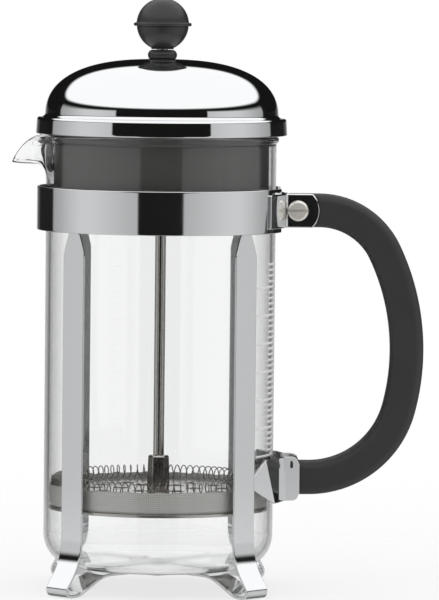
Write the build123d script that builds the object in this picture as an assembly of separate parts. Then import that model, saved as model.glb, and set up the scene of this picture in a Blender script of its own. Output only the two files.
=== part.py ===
from build123d import *
from math import asin, cos, degrees, pi, radians, sin, sqrt, tan
import os

# A press-style coffee maker: a glass beaker in a chromed cradle, with a side handle, a domed lid and a
# plunger. Sizes are in millimetres. Everything is drawn about the beaker's axis, standing on z = 0, with
# the handle towards +X and the spout towards -X, and is moved once, on export, so that the origin lies
# under the middle of the whole object's box.

# Clearances
weld_gap = 0.05           # between sheets that are welded face to face
seat_gap = 0.3            # under a piece that rests on another body
fit_gap = 0.1             # round a fastener or a moulded piece in its seat
slide_gap = 0.06          # round the plunger rod in its guide
trap_gap = 0.3            # between the filter and the glass
bead_gap = 0.16           # between the rim bead and the legs
step_gap = 0.5            # between the liner's step and the glass
liner_gap = 1.1           # between the liner's skirt and the glass
plate_gap = 0.8           # between the handle and a side plate at its end

# Beaker
beaker_radius = 48.2
glass_wall = 2.0
beaker_height = 181.0
beaker_corner = 14.0
bead_stand = 1.1          # how far the rim bead stands proud of the wall
bead_height = 3.0
spout_reach = 14.3        # from the beaker's wall to the lip's tip
spout_drop = 11.3         # from the rim down to the lip's tip
spout_root_radius = 12.5
spout_tip_radius = 2.6
spout_wall = 1.5
spout_rim_bulge = 4.0     # how far the lip's edge bows above a straight line

# Cradle
strap_sheet = 1.2
strap_width = 12.0
strap_neck = 6.0          # width where a strap passes inside the band
neck_taper = 9.0
band_sheet = 1.2
band_bottom = 150.5
band_height = 18.2
band_gap = 26.0           # opening in the band under the handle
band_end_round = 2.0
glass_seat = 8.7          # height of the straps under the beaker
leg_splay = 36.0          # degrees, outward lean of a leg above its foot
foot_reach = 7.04         # from the leg's face to the foot's end
foot_curl = 3.6           # bend radius of the foot, at the middle of the sheet
foot_flat = 1.5
foot_rise = 27.6          # degrees, slope of the strap from the foot to the seat
leg_bend, heel_bend, seat_bend = 7.0, 3.0, 18.0
cross_joggle = 9.0        # where the lower strap dips under the upper one
joggle_run = 3.0
rivet_radius = 2.5
rivet_head = 4.5
rivet_head_height = 1.0

# Handle
handle_thickness = 14.0
handle_width = 13.0
handle_edge = 3.6
handle_top = 159.4
handle_root = 1.6         # from the band's face to the handle's end
handle_straight = 14.6    # from the band's face to where the handle starts to bend
handle_radii = (30.6, 95.3, 39.1)
handle_turns = (64.0, 40.7, 75.3)
handle_tang = 2.4         # from the band's face to the end of the handle's foot

# Clamp lugs and their screw
lug_sheet = 1.0
lug_height = 14.2
lug_wrap = 30.0           # degrees of the band that a lug covers, from the handle's plane
lug_bend = 1.2
lug_reach = 14.5          # from the band's face to the ear's nose
lug_nose = 3.0            # length of the rounded end
screw_reach = 5.4         # from the band's face to the screw
screw_radius = 2.0
screw_head_radius = 4.3
screw_head_height = 2.4
slot_width = 1.4
slot_depth = 1.3
nut_across = 7.0
nut_height = 3.0

# Handle arms at the foot of the cradle
arm_root_height = 6.3
arm_height = 18.5
arm_out = (5.5, 2.7)      # from the leg's edge to the first bend, along X and Y
arm_stand = 2.14          # from a leg's face out to the start of the side plate
arm_turn = (2.5, 1.6)     # from the second bend to the side plate
arm_plate_reach = 7.0     # from the band's face to the side plate's end
arm_plate_lean = 14.0     # degrees between a side plate and the handle's middle plane
arm_bend = 1.6
arm_corner = 3.0
catch_slot = (1.3, 3.4)   # slot in each side plate, along X and Z
catch_back = 3.2          # from the side plate's end to the slot's middle
catch_rise = 6.2          # from the arm's middle to the slot's middle

# Lid
dome_sheet = 0.7
dome_step = 3.7           # from the rim's face in to the dome's
dome_bulge = 24.5
dome_power_out, dome_power_up = 2.6, 2.35
lid_overhang = 3.4        # of the rim beyond the beaker's bead
lid_rim_height = 7.1
lid_ledge = 1.6           # radius of the hollow corner between the dome and its rim
lid_roll = 1.3
liner_wall = 1.6
liner_depth = 37.0
liner_lip = 0.1           # of the flange beyond the beaker's bead
liner_step_height = 3.0
liner_tower = 8.2
slot_count, slot_pitch = 5, 4.0
pour_slot = (2.2, 12.0)
pour_slot_drop = 9.0      # from the beaker's rim down to the tops of the slots

# Guide bush, knob and rod
rod_radius = 2.25
bush_foot = 5.5
bush_bulge = 6.1
bush_bulge_height = 1.2
bush_height = 3.7
bush_shank = 5.4
bush_shank_length = 9.0
knob_radius = 11.0
knob_ring = 12.1
knob_ring_height = 1.4
knob_neck = 4.7
insert_radius = 3.6
insert_length = 10.0
rod_grip = 3.2            # how far the rod reaches into the hub's bore

# Filter stack
filter_bottom = 33.8
cross_sheet = 1.2
cross_ring_width = 2.6
cross_spoke = 5.0
boss_radius = 4.6
stud_radius = 2.6
mesh_thickness = 0.5
mesh_height = 9.6
plate_inset = 3.95        # from the spring's middle in to the plate's edge
plate_sheet = 1.0
plate_rise = 7.1          # from the filter's bottom to the spiral plate's underside
plate_hole = 3.6
plate_rings = ((15.0, 6), (27.0, 12))
spring_coil = 3.0
hub_across = 9.7
hub_height = 14.0
hub_taper = 1.9
hub_shoulder = 1.2

# Heights and radii that follow from the sizes above
beaker_floor = glass_seat + seat_gap
rim = beaker_floor + beaker_height
glass_bore = beaker_radius - glass_wall
bead_radius = beaker_radius + bead_stand
spout_tip = beaker_radius + spout_reach
leg_outside = bead_radius + bead_gap + strap_sheet
leg_middle = leg_outside - strap_sheet / 2
foot_radius = leg_outside + foot_reach
band_bore = sqrt(leg_outside ** 2 + (strap_neck / 2) ** 2) + weld_gap
band_radius = band_bore + band_sheet
band_top = band_bottom + band_height
handle_start = band_radius + handle_root
handle_bend = band_radius + handle_straight
tang_end = band_radius + handle_tang
lug_end = band_radius + lug_reach
screw_x = band_radius + screw_reach
plate_end = band_radius + arm_plate_reach
plate_half_gap = handle_width / 2 + plate_gap
lid_rim_radius = bead_radius + lid_overhang
dome_radius = lid_rim_radius - dome_step
liner_radius = glass_bore - liner_gap
liner_step_radius = glass_bore - step_gap
liner_flange = bead_radius + liner_lip
lid_bottom = rim + 2 * seat_gap
ledge_z = lid_bottom + lid_rim_height
crown = ledge_z + dome_bulge
rod_bore = rod_radius + slide_gap
bush_top = crown + weld_gap + bush_height
knob_bottom = bush_top + seat_gap
knob_middle = knob_bottom + sqrt(knob_radius ** 2 - knob_neck ** 2) + 0.4
plate_bottom = filter_bottom + plate_rise
hub_bottom = plate_bottom + plate_sheet + weld_gap
spring_major = glass_bore - trap_gap - mesh_thickness - spring_coil - 0.05
spring_middle = plate_bottom + plate_sheet + spring_coil + fit_gap
plate_radius = spring_major - plate_inset


def ring(outer, inner, bottom, height):
    """A flat-ended tube about the z axis."""
    tube = Cylinder(outer, height) - Cylinder(inner, height)
    return Pos(0, 0, bottom + height / 2) * tube


def rod(radius, bottom, height):
    """A plain cylinder on the z axis."""
    return Pos(0, 0, bottom + height / 2) * Cylinder(radius, height)


def across(radius, length):
    """A cylinder along Y about the origin."""
    return Rot(90, 0, 0) * Cylinder(radius, length)


def spun(outline):
    """Turn a closed outline in the XZ plane about the z axis."""
    return revolve(make_face(outline), Axis.Z)


def strip(path, sheet):
    """A flat band of even thickness along an open path of lines and arcs."""
    return make_face(Wire(path.edges()).offset_2d(sheet / 2, side=Side.BOTH))


# ---------------------------------------------------------------- beaker

def spout_cone(root_radius, tip_radius, root_x, tip_x):
    """A slanted cone whose underside runs level from the beaker to the lip."""
    level = rim - spout_drop - spout_tip_radius + 0.9
    root = Plane((root_x, 0, level + spout_root_radius), x_dir=(0, 1, 0), z_dir=(-1, 0, 0))
    tip = Plane((tip_x, 0, level + spout_tip_radius), x_dir=(0, 1, 0), z_dir=(-1, 0, 0))
    return loft([root * Circle(root_radius), tip * Circle(tip_radius)])


def glass_beaker():
    """A blown cylinder with a round bottom corner, a rim bead and a pinched, drooping lip."""
    inner_corner = beaker_corner - glass_wall
    with BuildLine(Plane.XZ) as outline:
        Polyline((0, beaker_floor), (beaker_radius - beaker_corner, beaker_floor))
        RadiusArc((beaker_radius - beaker_corner, beaker_floor),
                  (beaker_radius, beaker_floor + beaker_corner), -beaker_corner)
        Line((beaker_radius, beaker_floor + beaker_corner), (beaker_radius, rim - bead_height))
        ThreePointArc((beaker_radius, rim - bead_height), (bead_radius, rim - bead_height / 2),
                      (beaker_radius, rim))
        Polyline((beaker_radius, rim), (glass_bore, rim), (glass_bore, beaker_floor + beaker_corner))
        RadiusArc((glass_bore, beaker_floor + beaker_corner),
                  (glass_bore - inner_corner, beaker_floor + glass_wall), inner_corner)
        Polyline((glass_bore - inner_corner, beaker_floor + glass_wall),
                 (0, beaker_floor + glass_wall), (0, beaker_floor))
    vessel = spun(outline.line)

    root_x, tip_x = 2 * glass_wall - beaker_radius, -spout_tip
    lip = spout_cone(spout_root_radius, spout_tip_radius, root_x, tip_x)
    lip -= rod(glass_bore + glass_wall / 2, 0, 2 * rim)
    channel = spout_cone(spout_root_radius - spout_wall, spout_tip_radius - spout_wall,
                         root_x + 2 * glass_wall, tip_x - 0.01)
    return vessel + lip - channel - above_lip()


def above_lip():
    """Everything over the lip's falling edge, which bows up from the rim to the tip."""
    start_x, tip_x, tip_z = bead_stand - beaker_radius, -spout_tip, rim - spout_drop
    length = sqrt((tip_x - start_x) ** 2 + spout_drop ** 2)
    bow_x = (start_x + tip_x) / 2 - spout_rim_bulge * spout_drop / length
    bow_z = (rim + tip_z) / 2 + spout_rim_bulge * (start_x - tip_x) / length
    with BuildLine(Plane.XZ) as outline:
        ThreePointArc((start_x, rim), (bow_x, bow_z), (tip_x, tip_z))
        Polyline((tip_x, tip_z), (tip_x - 5, tip_z), (tip_x - 5, rim + 20), (0, rim + 20), (0, rim),
                 (start_x, rim))
    return extrude(make_face(outline.line), spout_root_radius * 2, both=True)


# ---------------------------------------------------------------- cradle

def top_band():
    """The clamp band round the beaker, open under the handle."""
    band = ring(band_radius, band_bore, band_bottom, band_height)
    band -= Pos(band_radius, 0, band_bottom + band_height / 2) * Box(band_radius, band_gap, band_height)
    ends = [edge for edge in band.edges()
            if edge.center().X > 0 and abs(abs(edge.center().Y) - band_gap / 2) < 0.01
            and edge.length < 2 * band_sheet]
    return fillet(ends, band_end_round)


def lug_outline(gap, lead):
    """Side view of a clamp lug's ear: level edges and a rounded nose, made larger by gap."""
    half = lug_height / 2 + gap
    nose_start = lug_end - lug_nose
    with BuildLine(Plane.XZ) as outline:
        Polyline((nose_start, handle_top + half), (lead, handle_top + half),
                 (lead, handle_top - half), (nose_start, handle_top - half))
        ThreePointArc((nose_start, handle_top - half), (lug_end + gap, handle_top),
                      (nose_start, handle_top + half))
    return make_face(outline.line)


def clamp_lug(side):
    """A sheet lug welded to one end of the band, with an ear that lies in the handle's side."""
    radius = band_radius + weld_gap + lug_sheet / 2
    ear_y = (handle_width - lug_sheet) / 2
    turn = asin((ear_y + lug_bend) / (radius + lug_bend))
    centre_x = (radius + lug_bend) * cos(turn)
    with BuildLine() as path:
        wrap = CenterArc((0, 0), radius, -lug_wrap, lug_wrap - degrees(turn))
        bend = RadiusArc(wrap @ 1, (centre_x, -ear_y), lug_bend)
        Line(bend @ 1, (lug_end, -ear_y))
    sheet = extrude(strip(path.line, lug_sheet), band_top + lug_height)
    lug = sheet & extrude(lug_outline(0, 0), band_radius, both=True)
    lug -= Pos(screw_x, 0, handle_top) * across(screw_radius + fit_gap, 3 * handle_width)
    return lug if side < 0 else lug.mirror(Plane.XZ)


def strap_path(dip):
    """Middle line of a cradle strap: up one leg, round its foot, under the beaker and up the other."""
    half = strap_sheet / 2
    curl_x = foot_radius - half - foot_curl
    toe_x = curl_x + foot_curl * tan(radians((90 + leg_splay) / 2))
    knee_z = half + (toe_x - leg_middle) / tan(radians(leg_splay))
    heel_x = curl_x - foot_flat - heel_bend * tan(radians(foot_rise / 2))
    seat_z = glass_seat - half
    seat_x = heel_x - (seat_z - half) / tan(radians(foot_rise))
    side = [(leg_middle, band_top - 1.5), (leg_middle, knee_z), (toe_x, half), (heel_x, half),
            (seat_x, seat_z)]
    radii = [leg_bend, foot_curl, heel_bend, seat_bend]
    if dip:
        side += [(cross_joggle + joggle_run, seat_z), (cross_joggle, seat_z - dip)]
        radii += [strap_sheet, strap_sheet]
    points = [(-x, z) for x, z in side] + list(reversed(side))
    with BuildLine(Plane.XZ) as path:
        FilletPolyline(*points, radius=radii + list(reversed(radii)))
    return path.line


def strap_front_view():
    """Outline of a strap seen square on: full width below, narrowed where it passes in the band."""
    neck_z = band_bottom
    wide, narrow = strap_width / 2, strap_neck / 2
    right = [(wide, 0), (wide, neck_z - neck_taper), (narrow, neck_z), (narrow, band_top)]
    left = [(-x, z) for x, z in reversed(right)]
    with BuildLine(Plane.YZ) as outline:
        Polyline(*right, *left, close=True)
    return extrude(make_face(outline.line), 2 * foot_radius, both=True)


def arm_points():
    """Plan of the middle line of the +X, -Y handle arm, from inside its leg to the side plate's end."""
    diagonal = sqrt(0.5)
    foot = Vector(leg_middle * diagonal, -leg_middle * diagonal)
    along = Vector(diagonal, diagonal)
    edge = foot + along * (strap_width / 2)
    first = edge + Vector(*arm_out)
    third_x = leg_outside + arm_stand
    end_y = -(plate_half_gap + strap_sheet / 2)
    third = Vector(third_x, end_y - (plate_end - third_x) * tan(radians(arm_plate_lean)))
    second = third - Vector(*arm_turn)
    return [foot + along, edge, first, second, third, Vector(plate_end, end_y)]


def arm_outline():
    """Side view of a handle arm: narrow at its leg, full height from the first bend on."""
    points = arm_points()
    low, high = arm_root_height / 2, arm_height / 2
    with BuildLine(Plane.XZ) as outline:
        Polyline((points[0].X - 3, tang_z + low), (points[1].X, tang_z + low),
                 (points[2].X, tang_z + high), (plate_end, tang_z + high),
                 (plate_end, tang_z - high), (points[2].X, tang_z - high),
                 (points[1].X, tang_z - low), (points[0].X - 3, tang_z - low), close=True)
    face = make_face(outline.line)
    corners = [corner for corner in face.vertices() if abs(corner.X - plate_end) < 0.01]
    return extrude(fillet(corners, arm_corner), 2 * band_radius, both=True)


def handle_arm(side):
    """The arm that a leg carries to the handle's foot, ending in a side plate with a catch slot."""
    with BuildLine() as path:
        FilletPolyline(*arm_points(), radius=[arm_bend] * 4)
    sheet = extrude(strip(path.line, strap_sheet), tang_z + arm_height)
    arm = sheet & arm_outline()
    arm -= Pos(catch_x, 0, catch_z) * Box(catch_slot[0], 3 * handle_width, catch_slot[1])
    return arm if side < 0 else arm.mirror(Plane.XZ)


def cradle_strap(side, dip):
    """Two opposite legs and the strip that joins them under the beaker, with one handle arm."""
    strap = extrude(strip(strap_path(dip), strap_sheet), strap_width, both=True) & strap_front_view()
    strap = Rot(0, 0, 45 * side) * strap
    strap += handle_arm(side)
    return strap - rod(rivet_radius + weld_gap, 0, glass_seat + 1)


def base_rivet():
    """A flush rivet through the crossing straps."""
    head_bottom = glass_seat - 2 * strap_sheet - 2 * weld_gap - rivet_head_height
    return rod(rivet_head, head_bottom, rivet_head_height) + rod(rivet_radius, head_bottom,
                                                                glass_seat - head_bottom)


# ---------------------------------------------------------------- handle and its screw

def handle_path():
    """Middle line of the handle: level at the lugs, then three tangent arcs, then level at the foot."""
    with BuildLine() as path:
        last = Line((handle_start, handle_top), (handle_bend, handle_top))
        for radius, turn in zip(handle_radii, handle_turns):
            last = JernArc(last @ 1, last % 1, radius, -turn)
        foot = last @ 1
        Line(foot, (tang_end, foot.Y))
    return Plane.XZ * Wire(path.line.edges())


grip_path = handle_path()
tang_z = (grip_path @ 1).Z
catch_x = plate_end - catch_back
catch_z = tang_z + catch_rise


def handle():
    """The moulded grip, with a seat for each lug and a catch in each side plate's slot."""
    start = Plane(grip_path @ 0, x_dir=(0, 1, 0), z_dir=grip_path % 0)
    section = start * RectangleRounded(handle_width, handle_thickness, handle_edge)
    grip = sweep(section, path=grip_path)
    seat_floor = handle_width / 2 - lug_sheet - fit_gap
    seat = extrude(lug_outline(fit_gap, 0), handle_width / 2, both=True)
    for side in (-1, 1):
        grip -= Pos(0, side * (seat_floor + handle_width / 2), 0) * seat
    catch_half = plate_half_gap + strap_sheet
    grip += Pos(catch_x, 0, catch_z) * Box(catch_slot[0] - 2 * fit_gap, 2 * catch_half,
                                           catch_slot[1] - 2 * fit_gap)
    grip -= Pos(screw_x, 0, handle_top) * across(screw_radius + fit_gap, 3 * handle_width)
    return grip


def clamp_screw():
    """A slotted pan-head screw through both lugs and the handle."""
    face_y = -handle_width / 2 - weld_gap
    length = handle_width + nut_height + 1.5
    head = Pos(0, face_y - screw_head_height / 2, 0) * across(screw_head_radius, screw_head_height)
    front = head.faces().sort_by(Axis.Y)[0]
    head = fillet(front.edges(), 0.45 * screw_head_height)
    slot = Pos(0, face_y - screw_head_height, 0) * Box(3 * screw_head_radius, 2 * slot_depth, slot_width)
    shank = Pos(0, face_y + length / 2, 0) * across(screw_radius, length)
    return Pos(screw_x, 0, handle_top) * (head + shank - slot)


def clamp_nut():
    """A hexagon nut on the far lug."""
    nut = Cylinder(nut_across, nut_height) & extrude(
        RegularPolygon(nut_across / 2, 6, major_radius=False), nut_height, both=True)
    nut -= Cylinder(screw_radius + weld_gap, 2 * nut_height)
    place_y = handle_width / 2 + weld_gap + nut_height / 2
    return Pos(screw_x, place_y, handle_top) * Rot(90, 0, 0) * nut


# ---------------------------------------------------------------- lid

def dome_point(angle, inset):
    """A point of the superellipse that the dome follows, inset by the sheet's thickness."""
    out = (dome_radius - inset) * cos(angle) ** (2 / dome_power_out)
    return out, ledge_z + (dome_bulge - inset) * sin(angle) ** (2 / dome_power_up)


def dome_curve(inset, lowest):
    """The dome's profile from its lowest point to its crown, as points on the superellipse."""
    angles = [lowest + (pi / 2 - lowest) * step / 12 for step in range(12)]
    return [dome_point(angle, inset) for angle in angles] + [(0, ledge_z + dome_bulge - inset)]


def lid_dome():
    """A spun sheet dome with a hollow ledge and a rolled rim."""
    low_angle = radians(9)
    outside = dome_curve(0, low_angle)
    inside = dome_curve(dome_sheet, low_angle)
    shoulder = (lid_rim_radius - 1.2, ledge_z)
    with BuildLine(Plane.XZ) as outline:
        Spline(*outside, tangents=((0, 1), (-1, 0)))
        Line(outside[-1], inside[-1])
        Spline(*inside, tangents=((0, 1), (-1, 0)))
        Polyline(inside[0], (inside[0][0], ledge_z - dome_sheet), (lid_rim_radius - dome_sheet,
                 ledge_z - dome_sheet), (lid_rim_radius - dome_sheet, lid_bottom + lid_roll),
                 (lid_rim_radius - lid_roll, lid_bottom + lid_roll), (lid_rim_radius - lid_roll, lid_bottom),
                 (lid_rim_radius, lid_bottom), (lid_rim_radius, ledge_z - 1.2))
        RadiusArc((lid_rim_radius, ledge_z - 1.2), shoulder, -1.2)
        Line(shoulder, (outside[0][0] + lid_ledge, ledge_z))
        Spline((outside[0][0] + lid_ledge, ledge_z), outside[0], tangents=((-1, 0), (0, 1)))
    return spun(outline.line) - rod(bush_shank + fit_gap, ledge_z, 2 * dome_bulge)


def lid_liner():
    """The moulded liner: a skirt inside the beaker, a flange on its rim and a tower to the dome."""
    flange_z = rim + seat_gap
    sheet = liner_wall
    bore = liner_radius - sheet
    tower_bore = bush_shank + fit_gap
    tower_top = dome_point(pi / 2.4, dome_sheet)[1] - fit_gap
    skirt = ring(liner_radius, bore, rim - liner_depth, liner_depth + seat_gap + sheet)
    top = ring(liner_flange, liner_tower - sheet, flange_z, sheet)
    step = ring(liner_step_radius, bore, rim - liner_step_height, liner_step_height + seat_gap)
    tower = ring(liner_tower, tower_bore, flange_z, tower_top - flange_z)
    floor = ring(liner_tower, rod_radius + 1, flange_z, sheet)
    liner = skirt + top + step + tower + floor
    slots = [Pos(-liner_radius, (index - (slot_count - 1) / 2) * slot_pitch,
                 rim - pour_slot_drop - pour_slot[1] / 2) * Box(12, pour_slot[0], pour_slot[1])
             for index in range(slot_count)]
    return liner - slots


def lid_bush():
    """The guide bush: a round collar on the dome and a shank down the liner's tower."""
    seat = crown + weld_gap
    shank_end = crown - bush_shank_length
    with BuildLine(Plane.XZ) as outline:
        Polyline((rod_bore, shank_end), (bush_shank, shank_end), (bush_shank, seat), (bush_foot, seat))
        ThreePointArc((bush_foot, seat), (bush_bulge, seat + bush_bulge_height), (knob_neck, bush_top))
        Polyline((knob_neck, bush_top), (rod_bore, bush_top), (rod_bore, shank_end))
    return spun(outline.line)


# ---------------------------------------------------------------- plunger

def knob_half(upper):
    """Half of the ball knob: the cap carries the ring at the joint, the base the neck."""
    ball = Pos(0, 0, knob_middle) * Sphere(knob_radius)
    joint = knob_middle - knob_ring_height / 2
    if upper:
        half = ball & rod(2 * knob_radius, joint, 2 * knob_radius)
        ring_body = rod(knob_ring, joint, knob_ring_height)
        half += fillet(ring_body.edges(), 0.45 * knob_ring_height)
    else:
        half = ball & rod(2 * knob_radius, knob_bottom, joint - weld_gap - knob_bottom)
        half += rod(knob_neck, knob_bottom, 2)
    bore_top = knob_bottom + seat_gap + insert_length + fit_gap
    return half - rod(insert_radius + weld_gap, 0, bore_top)


def knob_insert():
    """The threaded metal insert that the rod's top screws into."""
    bottom = knob_bottom + seat_gap
    return rod(insert_radius, bottom, insert_length) - rod(rod_radius + weld_gap, 0,
                                                          bottom + insert_length - 1.5)


def plunger_rod():
    """The rod from the filter's hub to the knob's insert."""
    bottom = hub_bottom + hub_height - 2 * rod_grip - 2
    top = knob_bottom + seat_gap + insert_length - 1.5 - weld_gap
    return rod(rod_radius, bottom, top - bottom)


def rod_hub():
    """A tapered six-sided nut that joins the rod to the filter's stud, rounded in at its top."""
    shoulder_z = hub_bottom + hub_height - hub_shoulder
    top_radius = hub_across / 2 - hub_height * tan(radians(hub_taper))
    body = Pos(0, 0, hub_bottom) * extrude(RegularPolygon(hub_across / 2, 6), hub_height, taper=hub_taper)
    rounding = Pos(0, 0, shoulder_z) * Cone(
        top_radius + hub_shoulder, top_radius - 0.3, hub_shoulder, align=(Align.CENTER, Align.CENTER, Align.MIN))
    body &= rod(hub_across, hub_bottom, hub_height - hub_shoulder) + rounding
    split = hub_bottom + hub_height - 2 * rod_grip - 2 - weld_gap
    body -= rod(rod_radius + weld_gap, split, hub_height)
    return body - rod(stud_radius + weld_gap, hub_bottom - 1, split - hub_bottom - 1)


def spiral_plate():
    """The perforated plate that carries the edge spring."""
    plate = ring(plate_radius, stud_radius + weld_gap, plate_bottom, plate_sheet)
    for pitch_radius, count in plate_rings:
        for index in range(count):
            turn = Rot(0, 0, 360 * index / count)
            plate -= turn * Pos(pitch_radius, 0, plate_bottom + plate_sheet / 2) * Cylinder(
                plate_hole, 2 * plate_sheet)
    return plate


def edge_spring():
    """The space of the closed coil that presses the mesh to the glass."""
    return Pos(0, 0, spring_middle) * Torus(spring_major, spring_coil)


def filter_mesh():
    """The mesh: a disc on the cross plate with its edge turned up."""
    outer = glass_bore - trap_gap
    bottom = filter_bottom + cross_sheet + weld_gap
    disc = rod(outer, bottom, mesh_height)
    disc -= rod(outer - mesh_thickness, bottom + mesh_thickness, mesh_height)
    return disc - rod(boss_radius + weld_gap, 0, 2 * bottom)


def cross_plate():
    """The bottom plate: a ring, four spokes and a boss with the stud for the hub."""
    outer = glass_bore - trap_gap
    plate = ring(outer, outer - cross_ring_width, filter_bottom, cross_sheet)
    for turn in (0, 90):
        plate += Rot(0, 0, turn) * Pos(0, 0, filter_bottom + cross_sheet / 2) * Box(
            2 * outer - cross_ring_width, cross_spoke, cross_sheet)
    plate += rod(boss_radius, filter_bottom, plate_rise - weld_gap)
    return plate + rod(stud_radius, filter_bottom, hub_bottom + rod_grip - filter_bottom)


# ---------------------------------------------------------------- assembly

def build():
    """Every piece by its node's name."""
    dip = strap_sheet + weld_gap
    return {
        "glass_beaker": glass_beaker(),
        "top_band": top_band(),
        "clamp_lug_front": clamp_lug(-1),
        "clamp_lug_back": clamp_lug(1),
        "cradle_strap_upper": cradle_strap(1, 0),
        "cradle_strap_lower": cradle_strap(-1, dip),
        "base_rivet": base_rivet(),
        "handle": handle(),
        "clamp_screw": clamp_screw(),
        "clamp_nut": clamp_nut(),
        "lid_dome": lid_dome(),
        "lid_liner": lid_liner(),
        "lid_bush": lid_bush(),
        "knob_cap": knob_half(True),
        "knob_base": knob_half(False),
        "knob_insert": knob_insert(),
        "plunger_rod": plunger_rod(),
        "rod_hub": rod_hub(),
        "spiral_plate": spiral_plate(),
        "edge_spring": edge_spring(),
        "filter_mesh": filter_mesh(),
        "cross_plate": cross_plate(),
    }


pieces = build()
spans = [piece.bounding_box() for piece in pieces.values()]
middle_x = (min(span.min.X for span in spans) + max(span.max.X for span in spans)) / 2
os.makedirs("parts", exist_ok=True)
for name, piece in pieces.items():
    placed = Compound([solid.moved(Location((-middle_x, 0, 0))) for solid in piece.solids()])
    export_step(placed, f"parts/{name}.step")
print("beaker axis at x =", round(-middle_x, 3))
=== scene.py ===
from math import cos, pi, radians, sin, sqrt, tan

import bmesh
import bpy
import numpy as np
from bpy.props import FloatProperty, FloatVectorProperty, IntProperty, PointerProperty
from mathutils import Matrix, Vector


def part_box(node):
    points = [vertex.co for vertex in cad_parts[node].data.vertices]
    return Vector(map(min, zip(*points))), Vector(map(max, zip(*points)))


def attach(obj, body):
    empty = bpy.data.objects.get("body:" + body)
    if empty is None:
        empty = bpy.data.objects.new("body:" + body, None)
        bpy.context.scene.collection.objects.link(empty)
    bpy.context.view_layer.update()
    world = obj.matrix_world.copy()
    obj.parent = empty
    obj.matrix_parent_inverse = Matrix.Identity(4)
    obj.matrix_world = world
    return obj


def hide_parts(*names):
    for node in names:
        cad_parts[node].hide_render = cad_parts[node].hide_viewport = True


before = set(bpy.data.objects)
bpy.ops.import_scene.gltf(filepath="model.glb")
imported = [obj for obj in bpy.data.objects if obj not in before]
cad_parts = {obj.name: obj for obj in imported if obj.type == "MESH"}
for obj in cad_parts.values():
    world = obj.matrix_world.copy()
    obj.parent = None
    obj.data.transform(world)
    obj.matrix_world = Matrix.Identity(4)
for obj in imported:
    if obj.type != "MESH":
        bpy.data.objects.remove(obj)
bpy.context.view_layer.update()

bl_info = {
    "name": "Press Coffee Maker",
    "version": (1, 0, 0),
    "blender": (4, 5, 0),
    "location": "View3D > Sidebar > Press Maker",
    "description": "Builds the visible surfaces and finishes of a press coffee maker round its frame",
    "category": "Object",
}

MM = 0.001


def low(node):
    """Lowest corner of a node's box."""
    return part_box(node)[0]


def high(node):
    """Highest corner of a node's box."""
    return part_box(node)[1]


AXIS_X = (low("plunger_rod")[0] + high("plunger_rod")[0]) / 2
RIM_Z = high("glass_beaker")[2]
FLOOR_Z = low("glass_beaker")[2]
BEAKER_RADIUS = 48.2 * MM
BAND_RADIUS = high("top_band")[1]


# ---------------------------------------------------------------- sizes and colours that a user would change

def length(name, default, text):
    """A length in millimetres, shown as a distance in metres."""
    return FloatProperty(name=name, default=default * MM, min=0.0, precision=5, unit="LENGTH", description=text)


def colour(name, default, text):
    """A linear colour."""
    return FloatVectorProperty(name=name, default=default, size=3, min=0.0, max=1.0, subtype="COLOR",
                               description=text)


class BeakerSizes(bpy.types.PropertyGroup):
    """Sizes of the blown glass."""
    wall: length("Wall", 2.0, "Thickness of the glass")
    corner: length("Corner", 14.0, "Outside radius of the bottom corner")
    bead: length("Bead", 1.1, "How far the rim bead stands proud")
    lip_spread: FloatProperty(name="Lip Spread", default=radians(20), subtype="ANGLE",
                              description="Half the angle of the rim that the lip takes")
    lip_pinch: FloatProperty(name="Lip Pinch", default=1.25, description="Higher makes a narrower lip")


class CradleSizes(bpy.types.PropertyGroup):
    """Sizes of the bent chrome sheet."""
    sheet: length("Sheet", 1.2, "Thickness of the straps and the band")
    width: length("Strap Width", 12.0, "Width of a leg")
    neck: length("Neck Width", 6.0, "Width of a leg where it passes inside the band")
    neck_taper: length("Neck Taper", 9.0, "Height of the shoulder below the band")
    leg_middle: length("Leg Radius", 50.06, "Radius of a leg's middle surface")
    edge: length("Edge Round", 0.35, "Rounding of the sheet's edges")


class LidSizes(bpy.types.PropertyGroup):
    """Sizes of the lid."""
    radius: length("Dome Radius", 49.0, "Radius of the dome above its ledge")
    bulge: length("Dome Height", 24.5, "Height of the dome above its ledge")
    sheet: length("Sheet", 0.7, "Thickness of the dome's sheet")
    power_out: FloatProperty(name="Roundness Out", default=2.6, description="Superellipse power, outwards")
    power_up: FloatProperty(name="Roundness Up", default=2.35, description="Superellipse power, upwards")


class FilterSizes(bpy.types.PropertyGroup):
    """Sizes of the filter's wire."""
    turns: IntProperty(name="Turns", default=92, description="Turns of the edge spring")
    wire: length("Wire", 0.5, "Diameter of the spring's wire")
    weave: length("Weave", 0.9, "Pitch of the mesh")


class Colours(bpy.types.PropertyGroup):
    """Base colours, linear."""
    chrome: colour("Chrome", (0.86, 0.87, 0.88), "Plated sheet")
    grip: colour("Grip", (0.028, 0.028, 0.028), "Handle plastic")
    knob: colour("Knob", (0.026, 0.026, 0.027), "Knob and bush plastic")
    liner: colour("Liner", (0.085, 0.085, 0.080), "Lid liner plastic")
    steel: colour("Steel", (0.58, 0.56, 0.53), "Rod and hub")
    wire: colour("Wire", (0.30, 0.29, 0.27), "Spring wire")
    mesh: colour("Mesh", (0.68, 0.68, 0.65), "Woven mesh")


# ---------------------------------------------------------------- shapes as numpy surfaces

def grid_faces(rows, columns, close_rows=False, close_columns=True):
    """Quads of a rows by columns grid: each cell joins a point to the next along both parameters."""
    r = np.arange(rows if close_rows else rows - 1)
    c = np.arange(columns if close_columns else columns - 1)
    r, c = np.meshgrid(r, c, indexing="ij")
    r2, c2 = (r + 1) % rows, (c + 1) % columns
    quads = np.stack([r * columns + c, r * columns + c2, r2 * columns + c2, r2 * columns + c], axis=-1)
    return quads.reshape(-1, 4)


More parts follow.
